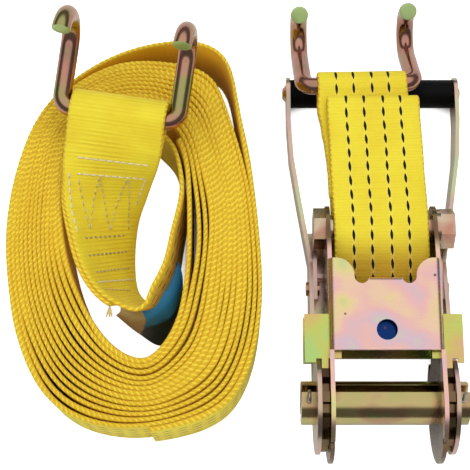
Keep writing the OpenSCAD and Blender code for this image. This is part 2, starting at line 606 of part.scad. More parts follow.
base_frame();
strap_bolt();
bolt_nut();
bolt_washer();
bolt_sleeve();
lock_spring();
lock_pawl();
half_shaft_front();
half_shaft_rear();
ratchet_wheel_left();
ratchet_wheel_right();
cotter_pin_left();
cotter_pin_right();
handle_plate_left();
handle_plate_right();
handle_web();
handle_rivets();
grip_bar();
grip_sleeve();
drive_pawl();
drive_spring();
short_strap();
short_hook();
strap_coil();
strap_lead();
strap_label();
long_hook();
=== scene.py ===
import math
import random

import bpy
from mathutils import Matrix, Vector
from mathutils.bvhtree import BVHTree


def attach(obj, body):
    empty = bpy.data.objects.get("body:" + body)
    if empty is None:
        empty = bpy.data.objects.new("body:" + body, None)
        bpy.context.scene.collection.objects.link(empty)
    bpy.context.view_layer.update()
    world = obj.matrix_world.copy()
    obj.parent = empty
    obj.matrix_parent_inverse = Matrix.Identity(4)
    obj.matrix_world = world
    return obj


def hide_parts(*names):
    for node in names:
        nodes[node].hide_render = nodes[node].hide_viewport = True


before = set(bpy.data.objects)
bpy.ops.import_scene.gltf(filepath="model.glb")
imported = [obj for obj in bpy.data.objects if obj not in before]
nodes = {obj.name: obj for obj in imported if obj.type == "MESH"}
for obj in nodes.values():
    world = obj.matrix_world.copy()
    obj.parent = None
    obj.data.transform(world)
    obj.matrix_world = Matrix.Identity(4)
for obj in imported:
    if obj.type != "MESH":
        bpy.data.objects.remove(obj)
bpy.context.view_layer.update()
print("frame loaded")

mm = 0.001
random.seed(7)

# the photograph's frame, and where its camera stood
view = {
    "width": 470,
    "height": 470,
    "lens": 98.9,
    "sensor": 36.0,
    "target": (-3.75, -4.95, 20.0),
    "distance": 700.0,
    "elevation": 75.0,
    "azimuth": 0.0,
    "roll": 0.0,
}

# pixels in the photograph; None where only one coordinate is meant
imagePoints = {
    "leftmost": (3.5, None),
    "rightmost": (467.0, None),
    "topmost": (None, 1.8),
    "bottommost": (None, 465.0),
    "webHole": (388.0, 331.0),
    "spindleLeft": (299.5, 403.0),
    "spindleRight": (467.0, 402.0),
    "gripLeft": (287.0, 94.0),
    "shortTipLeft": (301.0, 14.7),
    "shortTipRight": (410.0, 13.0),
    "longTipLeft": (61.7, 31.0),
    "longTipRight": (181.5, 47.0),
    "firstSeamLeft": (78.0, 156.5),
    "firstSeamRight": (150.0, 166.0),
    "secondSeamLeft": (77.0, 172.5),
    "secondSeamRight": (146.0, 179.5),
    "lastSeamLeft": (104.0, 289.0),
    "lastSeamRight": (131.0, 291.0),
    "looseThread": (110.0, 312.0),
}


def aimCamera():
    camera = bpy.data.objects.new("camera", bpy.data.cameras.new("camera"))
    bpy.context.scene.collection.objects.link(camera)
    bpy.context.scene.camera = camera
    camera.data.lens = view["lens"]
    camera.data.sensor_width = view["sensor"]
    camera.data.sensor_fit = "AUTO"
    camera.data.clip_start = 0.01
    camera.data.clip_end = 20
    up = math.radians(view["elevation"])
    turn = math.radians(view["azimuth"])
    back = Vector((math.sin(turn) * math.cos(up), -math.cos(turn) * math.cos(up), math.sin(up)))
    camera.location = (Vector(view["target"]) + back * view["distance"]) * mm
    aim = (-back).to_track_quat("-Z", "Y").to_matrix()
    camera.rotation_euler = (aim @ Matrix.Rotation(math.radians(view["roll"]), 3, "Z")).to_euler()
    bpy.context.view_layer.update()
    return camera


camera = aimCamera()
focal = max(view["width"], view["height"]) * view["lens"] / view["sensor"]  # in pixels


def toPixel(point):
    seen = camera.matrix_world.inverted() @ point
    return view["width"] / 2 - seen.x / seen.z * focal, view["height"] / 2 + seen.y / seen.z * focal


def turned(pitch, roll, yaw):
    # matrix of the turns about X, then Y, then Z, in degrees
    turn = Matrix.Identity(3)
    for angle, axis in ((yaw, "Z"), (roll, "Y"), (pitch, "X")):
        turn = turn @ Matrix.Rotation(math.radians(angle), 3, axis)
    return turn


def treeOf(pieces):
    # one BVHTree of the finished meshes of these pieces
    corners, faces = [], []
    graph = bpy.context.evaluated_depsgraph_get()
    for piece in pieces:
        done = piece.evaluated_get(graph)
        mesh = done.to_mesh()
        first = len(corners)
        corners += [piece.matrix_world @ v.co for v in mesh.vertices]
        faces += [[first + i for i in face.vertices] for face in mesh.polygons]
        done.to_mesh_clear()
    return BVHTree.FromPolygons(corners, faces)


def onSurface(tree, pixel):
    # where the photograph's ray through this pixel meets the surface, and the surface's normal there
    x, y = pixel
    eye = camera.matrix_world.translation
    ray = Vector((x - view["width"] / 2, view["height"] / 2 - y, -focal))
    ray = (camera.matrix_world.to_3x3() @ ray).normalized()
    place, normal, index, distance = tree.ray_cast(eye, ray)
    if place is None:
        samples = [tree.find_nearest(eye + ray * d * mm) for d in range(560, 760, 4)]
        place, normal = min(samples, key=lambda s: s[3])[:2]
    if normal.dot(ray) > 0:
        normal = -normal
    return place, normal


class Value:
    # a shader socket that works in Python expressions
    def __init__(self, finish, socket):
        self.finish = finish
        self.socket = socket

    def maths(self, operation, first, second=None):
        inputs = [first] if second is None else [first, second]
        return self.finish.node("Math", {"operation": operation}, dict(enumerate(inputs)))

    def __add__(self, other):
        return self.maths("ADD", self, other)

    def __radd__(self, other):
        return self.maths("ADD", other, self)

    def __sub__(self, other):
        return self.maths("SUBTRACT", self, other)

    def __rsub__(self, other):
        return self.maths("SUBTRACT", other, self)

    def __mul__(self, other):
        return self.maths("MULTIPLY", self, other)

    def __rmul__(self, other):
        return self.maths("MULTIPLY", other, self)

    def __truediv__(self, other):
        return self.maths("DIVIDE", self, other)

    def __gt__(self, other):
        return self.maths("GREATER_THAN", self, other)

    def __lt__(self, other):
        return self.maths("LESS_THAN", self, other)

    def sine(self):
        return self.maths("SINE", self)

    def size(self):
        return self.maths("ABSOLUTE", self)

    def fraction(self):
        return self.maths("FRACT", self)

    def least(self, other):
        return self.maths("MINIMUM", self, other)

    def most(self, other):
        return self.maths("MAXIMUM", self, other)

    def between(self, low, high):
        # 0 below low, 1 above high, smooth in between
        limits = {"Value": self, "From Min": low, "From Max": high}
        return self.finish.node("MapRange", {"interpolation_type": "SMOOTHSTEP"}, limits)


class Finish:
    # the node tree of one material, or of the world
    def __init__(self, name, owner=None):
        self.material = owner or bpy.data.materials.new(name)
        self.material.use_nodes = True
        self.tree = self.material.node_tree
        self.shader = self.tree.nodes["Background" if owner else "Principled BSDF"]

    def plug(self, item, socket):
        if isinstance(item, Value):
            self.tree.links.new(item.socket, socket)
        elif isinstance(item, tuple) and len(item) == 3 and socket.type == "RGBA":
            socket.default_value = (*item, 1)
        else:
            socket.default_value = item

    def node(self, kind, settings=None, inputs=None, output=0):
        made = self.tree.nodes.new("ShaderNode" + kind)
        for name, setting in (settings or {}).items():
            if name == "stops":
                ramp = made.color_ramp.elements
                while len(ramp) < len(setting):
                    ramp.new(1)
                for stop, (place, colour) in zip(ramp, setting):
                    stop.position = place
                    stop.color = (*colour, 1)
            else:
                setattr(made, name, setting)
        for name, item in (inputs or {}).items():
            self.plug(item, made.inputs[name])
        return Value(self, made.outputs[output])

    def mix(self, share, first, second):
        # a Mix node has its colour sockets at 6 and 7, and their result at 2
        return self.node("Mix", {"data_type": "RGBA"}, {0: share, 6: first, 7: second}, 2)

    def axis(self, vector, index):
        return self.node("SeparateXYZ", None, {0: vector}, index)

    def place(self):
        return self.node("TexCoord", output="Object")

    def scaled(self, vector, factors):
        return self.node("VectorMath", {"operation": "MULTIPLY"}, {0: vector, 1: factors})

    def noise(self, vector, scale, detail=3.0, roughness=0.5):
        inputs = {"Vector": vector, "Scale": scale, "Detail": detail, "Roughness": roughness}
        return self.node("TexNoise", None, inputs)

    def bump(self, height, distance, strength=1.0):
        return self.node("Bump", None, {"Height": height, "Distance": distance, "Strength": strength})

    def set(self, **items):
        for name, item in items.items():
            self.plug(item, self.shader.inputs[name.replace("_", " ")])
        return self.material


def linear(level):
    # an sRGB level of 0 to 255 as a linear one
    return ((level / 255 + 0.055) / 1.055) ** 2.4 if level > 10 else level / 255 / 12.92


def colour(red, green, blue):
    return linear(red), linear(green), linear(blue)


plating = {
    "patch": 42.0,  # noise scale per metre of the large colour patches
    "streak": 150.0,
    "specks": 95.0,  # small dark pits per metre
    "stain": colour(110, 66, 56),
    "grain": 900.0,
    # colours of the plating from one end of its range to the other
    "plate": [(0.30, colour(188, 206, 150)), (0.40, colour(224, 210, 144)), (0.48, colour(234, 200, 166)),
              (0.56, colour(232, 184, 178)), (0.66, colour(214, 186, 196)), (0.76, colour(196, 208, 180))],
    "side": [(0.32, colour(192, 196, 156)), (0.45, colour(206, 186, 156)), (0.56, colour(202, 168, 158)),
             (0.70, colour(178, 164, 146))],
    "catch": [(0.34, colour(176, 206, 122)), (0.46, colour(196, 200, 106)), (0.58, colour(210, 184, 112)),
              (0.72, colour(214, 166, 150))],
    "bolt": [(0.32, colour(190, 176, 136)), (0.45, colour(206, 186, 160)), (0.56, colour(190, 138, 116)),
             (0.70, colour(150, 150, 106))],
    "shaft": [(0.32, colour(178, 174, 112)), (0.48, colour(190, 170, 118)), (0.60, colour(176, 142, 108)),
              (0.72, colour(150, 156, 104))],
    "hook": [(0.34, colour(158, 152, 98)), (0.44, colour(180, 142, 112)), (0.56, colour(186, 132, 116)),
             (0.70, colour(160, 124, 104)), (0.80, colour(150, 150, 104))],
    # painted shade: darker plating colours for the wheels and the base frame's lower part, which lie in shade
    "frame": [(0.32, colour(136, 138, 98)), (0.45, colour(132, 114, 80)), (0.56, colour(118, 92, 70)),
              (0.70, colour(100, 86, 60))],
    # painted shade: dark blue for the lock pawl where it lies in shade under the web's hole
    "blue": colour(22, 52, 108),
    "cut": [(0.36, colour(176, 200, 132)), (0.50, colour(150, 172, 104)), (0.62, colour(172, 162, 108))],
}


def zincFinish(name, roughness=0.26, specks=0.0, brushed=0.10, metallic=1.0, below=None, blue=None):
    # yellow zinc: patches of interference colours on smooth steel
    f = Finish("zinc" + name.capitalize())
    place = f.place()
    patch = f.noise(place, plating["patch"], 1.6, 0.45)
    streak = f.noise(f.scaled(place, (0.3, 1.0, 1.0)), plating["streak"], 4.0, 0.55)
    blend = patch + (streak - 0.5) * brushed
    tint = f.node("ValToRGB", {"stops": plating[name]}, {"Fac": blend})
    if below:
        # painted shade: darker plating colours under this height, where the side plates lie in shade
        lower = f.node("ValToRGB", {"stops": plating[below[0]]}, {"Fac": blend})
        height = f.axis(place, 2)
        tint = f.mix(height.between(below[1] - mm, below[1] + mm), lower, tint)
    if blue:
        # painted shade: dark blue round one place, for a spot that lies in shade
        away = f.node("VectorMath", {"operation": "DISTANCE"}, {0: place, 1: blue[0]}, "Value")
        tint = f.mix(1 - away.between(blue[1] - 2 * mm, blue[1]), tint, plating["blue"])
    if specks:
        pit = f.node("TexVoronoi", None, {"Vector": place, "Scale": plating["specks"], "Randomness": 1.0})
        tint = f.mix((1 - pit.between(0.055, 0.09)) * specks, tint, plating["stain"])
    grain = f.noise(place, plating["grain"], 3.0, 0.6)
    normal = f.bump(grain, 0.00003, 0.4)
    rough = roughness + (streak - 0.5) * 0.12
    return f.set(Base_Color=tint, Metallic=metallic, Roughness=rough, Normal=normal)


def springFinish():
    f = Finish("springWire")
    streak = f.noise(f.scaled(f.place(), (1.0, 1.0, 0.3)), 700.0)
    return f.set(Base_Color=f.mix(streak, colour(196, 194, 184), colour(140, 138, 130)), Metallic=1.0,
                 Roughness=0.25 + streak * 0.15)


def gripFinish():
    f = Finish("blackSleeve")
    grain = f.noise(f.place(), 1500.0, 4.0, 0.6)
    scuff = f.noise(f.place(), 60.0, 3.0, 0.6).between(0.5, 0.8)
    tint = f.mix(scuff, (0.0012, 0.0012, 0.0013), (0.003, 0.003, 0.003))
    return f.set(Base_Color=tint, Roughness=0.55 + scuff * 0.15, Specular_IOR_Level=0.12,
                 Normal=f.bump(grain, 0.00008, 0.6))


metals = {
    # painted shade: the base frame takes the darker frame colours under 47 mm
    "plate": zincFinish("plate", 0.27, 0.85, below=("frame", 0.047)),
    "side": zincFinish("side", 0.25, 0.5),
    # painted shade: the wheels take the darker frame colours
    "frame": zincFinish("frame", 0.25, 0.5),
    "catch": zincFinish("catch", 0.27, 0.6),
    # painted shade: dark blue on the lock pawl where it is seen in shade through the web's hole
    "lock": zincFinish("catch", 0.27, 0.6, blue=((0.0743, -0.063, 0.047), 0.012)),  # seen in the web's hole
    "bolt": zincFinish("bolt", 0.22),
    "shaft": zincFinish("shaft", 0.2, brushed=0.25),
    "hook": zincFinish("hook", 0.2, 0.3, brushed=0.16),
    "cut": zincFinish("cut", 0.35, brushed=0.2, metallic=0.3),
    "spring": springFinish(),
    "grip": gripFinish(),
}

metalOf = {
    "plate": ["base_frame"],
    "side": ["handle_plate_left", "handle_plate_right", "handle_web"],
    "frame": ["ratchet_wheel_left", "ratchet_wheel_right"],
    "lock": ["lock_pawl"],
    "catch": ["drive_pawl"],
    "bolt": ["strap_bolt", "bolt_nut", "bolt_washer", "bolt_sleeve", "handle_rivets", "grip_bar"],
    "shaft": ["half_shaft_front", "half_shaft_rear"],
    "spring": ["lock_spring", "drive_spring", "cotter_pin_left", "cotter_pin_right"],
    "grip": ["grip_sleeve"],
    "hook": ["short_hook", "long_hook"],
}

# widths in millimetres
bevels = {
    "base_frame": 0.45, "lock_pawl": 0.4, "ratchet_wheel_left": 0.35, "ratchet_wheel_right": 0.35,
    "handle_plate_left": 0.45, "handle_plate_right": 0.45, "handle_web": 0.4, "drive_pawl": 0.4,
    "half_shaft_front": 0.4, "half_shaft_rear": 0.4, "strap_bolt": 0.5, "bolt_nut": 0.5, "bolt_washer": 0.3,
    "grip_sleeve": 0.6, "short_hook": 0.5, "long_hook": 0.5,
}


def finishMetal():
    for kind, names in metalOf.items():
        for name in names:
            piece = nodes[name]
            piece.data.materials.clear()
            piece.data.materials.append(metals[kind])
    for name, width in bevels.items():
        flat = nodes[name].modifiers.new("flat", "DECIMATE")
        flat.decimate_type = "DISSOLVE"
        flat.angle_limit = math.radians(0.6)
        edge = nodes[name].modifiers.new("edge", "BEVEL")
        edge.width = width * mm
        edge.segments = 2
        edge.angle_limit = math.radians(40)
        edge.use_clamp_overlap = True
        edge.harden_normals = False
    print("metal finished")


webbing = {
    "width": 50.0,
    "thickness": 2.3,
    "row": 1.7,  # pitch of the weave's rows along the strap
    "warp": 0.9,  # pitch of the lengthwise threads
    "dashPitch": 7.6,
    "dashLength": 6.2,
    "dashWidth": 1.55,
    "dashLean": 0.05,
    "tracers": (0.205, 0.397, 0.603, 0.79),  # shares of the width
    "strand": 3.0,  # pitch of the strands along the selvedge
    "face": colour(243, 228, 60),
    "shade": colour(226, 190, 40),
    # painted highlight on the selvedge strands' crowns, painted shade on their sides, and darker painted
    # shade in the grooves between them
    "selvedge": colour(250, 220, 66),
    "under": colour(224, 182, 40),
    "dark": colour(150, 100, 14),
    "paintedShade": colour(176, 120, 22),
    "pale": colour(246, 238, 160),
    # painted bounce light: orange for the strap's inner faces
    "inner": colour(240, 172, 30),
}


def webbingFinish(name, side=1.0, ribPitch=4.0, ribDepth=0.3, warm=0.0, paintedShadeSpan=None, glow=0.0):
    # UV map cloth is (across, along) in metres; rim is (through the thickness, along)
    w = webbing
    f = Finish(name)
    cloth = f.node("UVMap", {"uv_map": "cloth"})
    across, along = f.axis(cloth, 0), f.axis(cloth, 1)
    through = f.axis(f.node("UVMap", {"uv_map": "rim"}), 0)
    place = f.place()
    cloud = f.noise(place, 48.0, 3.0, 0.55)
    fuzz = f.noise(place, 1400.0, 3.0, 0.7)
    row = (along * (2 * math.pi / (w["row"] * mm))).sine() * 0.5 + 0.5
    warp = (across * (2 * math.pi / (w["warp"] * mm)) + (cloud - 0.5) * 3.0).sine() * 0.5 + 0.5
    rib = (along * (2 * math.pi / (ribPitch * mm)) + (cloud - 0.5) * 2.5).sine() * 0.5 + 0.5
    rib = 1 - (1 - rib) * f.noise(place, 30.0, 1.0, 0.5).between(0.3, 0.62)
    weave = row * 0.4 + warp * row * 0.6
    tint = f.mix(cloud.between(0.35, 0.7) * (0.3 + warm), w["face"], w["shade"])
    tint = f.mix((1 - weave) * 0.28 + (1 - rib) * ribDepth, tint, w["shade"])
    # painted bounce light: the inner faces turn orange, as from light bounced between the yellow turns
    if glow:
        tint = f.mix((through < -0.0002) * glow, tint, w["inner"])
    # painted shade: darker towards the ratchet's end of the strap, where the web and handle shade it
    if paintedShadeSpan:
        height = f.axis(place, 1)
        tint = f.mix((1 - height.between(paintedShadeSpan[0], paintedShadeSpan[1])) * 0.75, tint, w["paintedShade"])
    # black tracers on one face: pointed dashes, with a paler thread beside and between them
    step = (along / (w["dashPitch"] * mm)).fraction() - 0.5
    reach = step.size() * (2 * w["dashPitch"] / w["dashLength"])
    slim = (1 - reach * reach).most(0) * (w["dashWidth"] / 2 * mm)
    dash, halo = 0, 0
    for share in w["tracers"]:
        off = (across + step * (w["dashLean"] * w["dashPitch"] * mm) - share * w["width"] * mm).size()
        dash = dash + (off < slim)
        halo = halo + (1 - off.between(0.4 * mm, 1.3 * mm))
    outer = through * side > 0.0002
    tint = f.mix(halo.least(1) * outer * 0.16, tint, w["pale"])
    tint = f.mix(dash.least(1) * outer, tint, (0.006, 0.005, 0.002))
    # selvedge: slanting strands over the rounded edges, each with a painted highlight on its crown and
    # painted shade in the groove beside it; the bump raises them too
    edge = ((across - w["width"] / 2 * mm).size() - (w["width"] / 2 - 1.3) * mm).between(0, 0.9 * mm)
    slant = (along / (w["strand"] * mm) + through * (0.55 / mm / w["thickness"])).fraction()
    lens = (slant * (2 * math.pi)).sine() * 0.5 + 0.5
    groove = (slant - 0.5).size().between(0.34, 0.5)
    rope = f.mix(lens, w["under"], w["selvedge"])
    rope = f.mix(groove * 0.3, rope, w["dark"])
    rope = f.mix(cloud.between(0.4, 0.7) * 0.35, rope, w["under"])
    tint = f.mix(edge, tint, rope)
    height = (weave * 0.3 + fuzz * 0.1 + rib * ribDepth * 2.2) * (1 - edge)
    height = height + (lens * 0.7 - groove * 0.5) * edge
    normal = f.bump(height, 0.0004, 0.7)
    return f.set(Base_Color=tint, Roughness=0.7, Specular_IOR_Level=0.25, Sheen_Weight=0.06, Normal=normal)


cloths = {
    # the short strap's last entry is the span of painted shade near the ratchet
    "short": webbingFinish("shortWebbing", 1.0, 4.0, 0.16, 0.0, (-0.030, -0.006)),
    # the rolled strap's inner faces take painted bounce light
    "rolled": webbingFinish("rolledWebbing", 1.0, 4.0, 0.1, 0.2, None, 0.75),
    "sewn": webbingFinish("sewnWebbing", -1.0, 2.35, 0.38, 0.2),
}


def curvePoint(a, b, c, d, t):
    # from b to c on the smooth curve through all four
    return 0.5 * (2 * b + (c - a) * t + (2 * a - 5 * b + 4 * c - d) * t * t
                  + (3 * b - a - 3 * c + d) * t ** 3)


def openCurve(points, count):
    # smooth curve through the points, with count steps to a span
    last = len(points) - 1
    made = []
    for i in range(last):
        a, b, c, d = points[max(i - 1, 0)], points[i], points[i + 1], points[min(i + 2, last)]
        made += [curvePoint(a, b, c, d, k / count) for k in range(count)]
    return made + [points[last]]


def arc(centre, radius, start, end, count):
    made = []
    for k in range(count + 1):
        angle = math.radians(start + (end - start) * k / count)
        made.append(Vector((centre[0] + radius * math.cos(angle), centre[1] + radius * math.sin(angle))))
    return made


def evenly(left, right, step):
    # the two edges of a strap, stepped evenly along its middle
    runs = [0.0]
    for i in range(1, len(left)):
        runs.append(runs[-1] + ((left[i] + right[i]) / 2 - (left[i - 1] + right[i - 1]) / 2).length)
    count = max(2, round(runs[-1] / step))
    newLeft, newRight, i = [], [], 1
    for k in range(count + 1):
        want = runs[-1] * k / count
        while i < len(runs) - 1 and runs[i] < want:
            i += 1
        share = (want - runs[i - 1]) / max(runs[i] - runs[i - 1], 1e-9)
        newLeft.append(left[i - 1].lerp(left[i], share))
        newRight.append(right[i - 1].lerp(right[i], share))
    return newLeft, newRight, runs[-1]


def linkPiece(name, mesh, material):
    piece = bpy.data.objects.new(name, mesh)
    bpy.context.scene.collection.objects.link(piece)
    mesh.materials.append(material)
    mesh.polygons.foreach_set("use_smooth", [True] * len(mesh.polygons))
    return piece


def strapMesh(name, left, right, thickness, material, across=9, scallop=0.22, wave=0.0):
    # a closed strap between two edge lines, in millimetres: flat faces and rounded selvedges
    width = webbing["width"]
    plies = thickness if isinstance(thickness, list) else [thickness] * len(left)
    rim = sum(plies) / len(plies) / 2
    section = [(rim + (width - 2 * rim) * k / (across - 1), 1.0) for k in range(across)]
    turn = [math.radians(a) for a in (45, 0, -45)]
    section += [(width - rim + rim * math.cos(a), math.sin(a)) for a in turn]
    section += [(width - p[0], -p[1]) for p in section]
    size = len(section)
    points, runs, run = [], [], 0.0
    for i in range(len(left)):
        before, after = max(i - 1, 0), min(i + 1, len(left) - 1)
        side = right[i] - left[i]
        narrow = side.length / width
        side.normalize()
        ahead = (left[after] + right[after] - left[before] - right[before]).normalized()
        normal = side.cross(ahead).normalized()
        middle = (left[i] + right[i]) / 2
        if i:
            run += (middle - (left[i - 1] + right[i - 1]) / 2).length
        runs.append(run)
        phase = 2 * math.pi * run / webbing["strand"]
        for a, n in section:
            reach = (a - width / 2) * narrow
            lift = n * plies[i] / 2
            if abs(reach) > width / 2 - rim * 1.1:  # selvedge
                reach += math.copysign(scallop * math.sin(phase), reach)
                lift += wave * math.sin(phase + 1.6 * n)
            points.append((middle + side * reach + normal * lift) * mm)
    faces, clothUv, rimUv = [], [], []
    for i in range(len(left) - 1):
        for k in range(size):
            j = (k + 1) % size
            faces.append((i * size + k, i * size + j, (i + 1) * size + j, (i + 1) * size + k))
            for index, row in ((k, i), (j, i), (j, i + 1), (k, i + 1)):
                clothUv.append((section[index][0] * mm, runs[row] * mm))
                rimUv.append((section[index][1] * rim * mm, runs[row] * mm))
    lastRow = (len(left) - 1) * size
    for cap in (list(range(size))[::-1], [lastRow + k for k in range(size)]):
        faces.append(cap)
        clothUv += [(section[k % size][0] * mm, 0.0) for k in cap]
        rimUv += [(0.0, 0.0) for k in cap]
    mesh = bpy.data.meshes.new(name)
    mesh.from_pydata(points, [], faces)
    for label, values in (("cloth", clothUv), ("rim", rimUv)):
        layer = mesh.uv_layers.new(name=label)
        layer.data.foreach_set("uv", [c for pair in values for c in pair])
    mesh.validate()
    mesh.update()
    return linkPiece(name, mesh, material)


ratchet = Vector((73.3, -97.2, 28.0))  # the spindle's middle

shortStrap = {
    "step": 1.5,
    # where the middle of each ply lies across, by its distance from the spindle
    "eyePly": [(50, 0.5), (92, 0.0), (128, -1.3), (162, -2.6)],
    "hookPly": [(110, -1.9), (129, -2.4), (141, -3.6), (152, -5.4), (164, -7.3), (182, -7.8)],
    "drawnIn": [(160, 50.0), (172, 48.6)],  # its width near the hook
}


def smoothTable(table, y):
    # smooth value from a table of (distance, value)
    if y <= table[0][0]:
        return table[0][1]
    for (y0, v0), (y1, v1) in zip(table, table[1:]):
        if y <= y1:
            t = (y - y0) / (y1 - y0)
            return v0 + (v1 - v0) * t * t * (3 - 2 * t)
    return table[-1][1]


def edgePair(path, table):
    # edge lines of a strap whose side view is path, in the ratchet's frame
    left, right = [], []
    for y, z in path:
        middle = smoothTable(table, y)
        lean = (smoothTable(table, y + 6) - smoothTable(table, y - 6)) / 12
        side = Vector((1, -lean, 0)).normalized() * smoothTable(shortStrap["drawnIn"], y) / 2
        place = ratchet + Vector((middle, y, z))
        left.append(place - side)
        right.append(place + side)
    return left, right


def makeShortStrap():
    v = Vector
    eye = openCurve([v((126, -1.9)), v((112, -3.2)), v((99.9, -5.0))], 8)
    eye += openCurve([v((88.5, -5.0)), v((66, -1.6)), v((57, 0.7))], 8)
    eye += arc((56, 3.6), 2.6, 270, 90, 10)
    eye += openCurve([v((58, 6.7)), v((68, 10.0)), v((86.5, 13.0)), v((98.5, 13.0)), v((118, 13.2)),
                      v((143.8, 12.9)), v((159.4, 14.2))], 8)
    eye += arc((161.8, 12.5), 1.9, 80, -90, 8)
    eye += openCurve([v((156.8, 10.0)), v((141.8, 9.2)), v((120.3, 9.4))], 6)
    hook = openCurve([v((119.0, 9.4)), v((113, 9.3))], 3)
    hook += arc((111, 7.6), 1.7, 90, 270, 8)
    hook += openCurve([v((113, 5.8)), v((138, 5.4)), v((155.8, 5.8)), v((169.5, 9.2))], 8)
    hook += arc((174.5, 4.1), 6.2, 100, -100, 16)
    hook += openCurve([v((168.5, -1.7)), v((155.8, 1.6)), v((126, 2.2))], 8)
    eyeLeft, eyeRight = edgePair(eye, shortStrap["eyePly"])
    hookLeft, hookRight = edgePair(hook, shortStrap["hookPly"])
    left, right, length = evenly(eyeLeft + hookLeft, eyeRight + hookRight, shortStrap["step"])
    strap = strapMesh("shortStrap", left, right, webbing["thickness"], cloths["short"], scallop=0.12)
    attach(strap, "short_belt")
    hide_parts("short_strap")
    length * mm
    print("short strap", round(length), "mm")


coil = {
    "place": Vector((-56.7, -11.0, 0.0)),
    "centre": Vector((-4.0, 0.0)),
    "turns": 13.4,
    "start": 62.0,  # degrees from +X where the innermost turn begins
    "step": 1.25,
    "thickness": (2.2, 3.4),  # as packed, from the least to the most
    "outer": [(67, -36), (58, -76), (38, -96), (-4, -104), (-38, -93), (-58, -60), (-67, -10), (-62, 38),
              (-46, 74), (-14, 99), (18, 104), (44, 97), (55, 70), (64, 20)],
    "inner": [(27, -4), (23, -44), (8, -65), (-12, -56), (-29, -25), (-36, 8), (-34, 44), (-14, 64), (12, 62),
              (26, 40)],
    # room left between turns: after which turn, direction in degrees, half width in degrees, size in turns
    "loose": [(12, 74, 62, 2.6), (0, 5, 70, 1.3), (1, 10, 60, 0.5), (2, 20, 45, 0.7),
              (1, 215, 60, 0.6), (3, 230, 45, 0.35), (2, 290, 60, 0.5), (8, -50, 45, 0.3),
              (11, 250, 50, 0.4), (5, 150, 40, 0.2)],
    "bulge": (70, 27, 5.2),  # where the loose turn stands out: direction, half width, size
}


def polarOutline(points, centre):
    # distance from the centre to the smooth closed outline, for each whole degree
    closed = [Vector(p) for p in points]
    curve = []
    for i in range(len(closed)):
        a, b, c, d = (closed[(i + k) % len(closed)] for k in (-1, 0, 1, 2))
        curve += [curvePoint(a, b, c, d, k / 40) - centre for k in range(40)]
    polar = sorted((math.degrees(math.atan2(p.y, p.x)) % 360, p.length) for p in curve)
    polar = [(polar[-1][0] - 360, polar[-1][1])] + polar + [(polar[0][0] + 360, polar[0][1])]
    made, i = [], 1
    for degree in range(361):
        while polar[i][0] < degree:
            i += 1
        (a0, r0), (a1, r1) = polar[i - 1], polar[i]
        made.append(r0 + (r1 - r0) * (degree - a0) / max(a1 - a0, 1e-6))
    return made


def atDegree(table, degree):
    whole = int(degree % 360)
    share = degree % 360 - whole
    return table[whole] * (1 - share) + table[whole + 1] * share


def roomAfter(turn, direction):
    # room between this turn and the next one, in turns
    room = 1.0
    for after, middle, half, size in coil["loose"]:
        off = (direction - middle + 180) % 360 - 180
        if after == turn and abs(off) < half:
            room += size * math.cos(off / half * math.pi / 2) ** 2
    return room


def makeCoil():
    outer = polarOutline(coil["outer"], coil["centre"])
    inner = polarOutline(coil["inner"], coil["centre"])
    least, most = coil["thickness"]
    middle, half, size = coil["bulge"]
    left, right, plies = [], [], []
    degree = 0.0
    while degree <= coil["turns"] * 360:
        direction = (coil["start"] - degree) % 360
        rooms = [roomAfter(k, direction) for k in range(int(coil["turns"]) + 1)]
        turn = int(degree / 360)
        reached = sum(rooms[:turn]) + (degree / 360 - turn) * rooms[turn]
        full = sum(rooms[:-1]) + (coil["turns"] % 1) * rooms[-1]
        near = atDegree(inner, direction) + least / 2
        far = atDegree(outer, direction) - least / 2
        radius = near + (far - near) * min(reached / full, 1.0)
        off = (direction - middle + 180) % 360 - 180
        if abs(off) < half and degree > (coil["turns"] - 1) * 360:
            radius += size * math.cos(off / half * math.pi / 2) ** 2
        ripple = 0.5 * math.sin(degree * 0.031) + 0.4 * math.sin(degree * 0.0173 + 2)
        angle = math.radians(direction)
        spot = Vector((math.cos(angle), math.sin(angle))) * radius + coil["centre"]
        base = coil["place"] + Vector((spot.x, spot.y, 0.0))
        left.append(base + Vector((0, 0, 0.75 + 0.5 * ripple)))
        right.append(base + Vector((0, 0, webbing["width"] - 0.35 + 0.5 * ripple)))
        plies.append(min(max((far - near) / full, least), most))
        degree += 1.2
    count = len(plies)
    left, right, length = evenly(left, right, coil["step"])
    plies = [plies[min(i * count // len(left), count - 1)] for i in range(len(left))]
    roll = strapMesh("coiledStrap", left, right, plies, cloths["rolled"], 3, 0.3, 0.42)
    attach(roll, "long_belt")
    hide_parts("strap_coil")
    length * mm
    print("coil", round(length), "mm")


lead = {
    "step": 1.5,
    "offset": 1.25,  # each ply's middle from the middle of the doubled strap
    # upper and lower edge in the coil's frame
    "stations": [
        ((-33.4, 48, 69.6), (16, 40.1, 70.2)), ((-35.5, 36, 64.5), (13.3, 32.5, 60)),
        ((-36, 16, 58), (5.4, 24.5, 33)), ((-33, 0.6, 55.5), (-0.7, 12.4, 19)),
        ((-26.5, -20, 54), (-3, -6, 11)), ((-16, -34.5, 53), (-1.6, -22, 5)),
        ((-1.3, -42, 52.5), (5, -30, 3)), ((6.6, -39.4, 52), (11.5, -30, 2)),
        ((10.8, -29.4, 51.5), (16, -25, 2)), ((16.8, -16.4, 51), (21, -14, 1.5)),
        ((20.6, 0.7, 50.5), (23.5, 1, 1)), ((25, 23.5, 50.5), (25.9, 24, 1)),
        ((21, 45, 50.5), (21.2, 45, 1)), ((11, 57, 50.5), (11.2, 57, 1))],
    "single": 5.5,  # the second ply ends at this station
    "bar": Vector((-63.45, 45.65, 70.9)),
    "yaw": -9.1,
    "roll": -1.5,
    "loop": (9.4, 6.3),  # reach beyond the crossbar and height of the loop round it
}


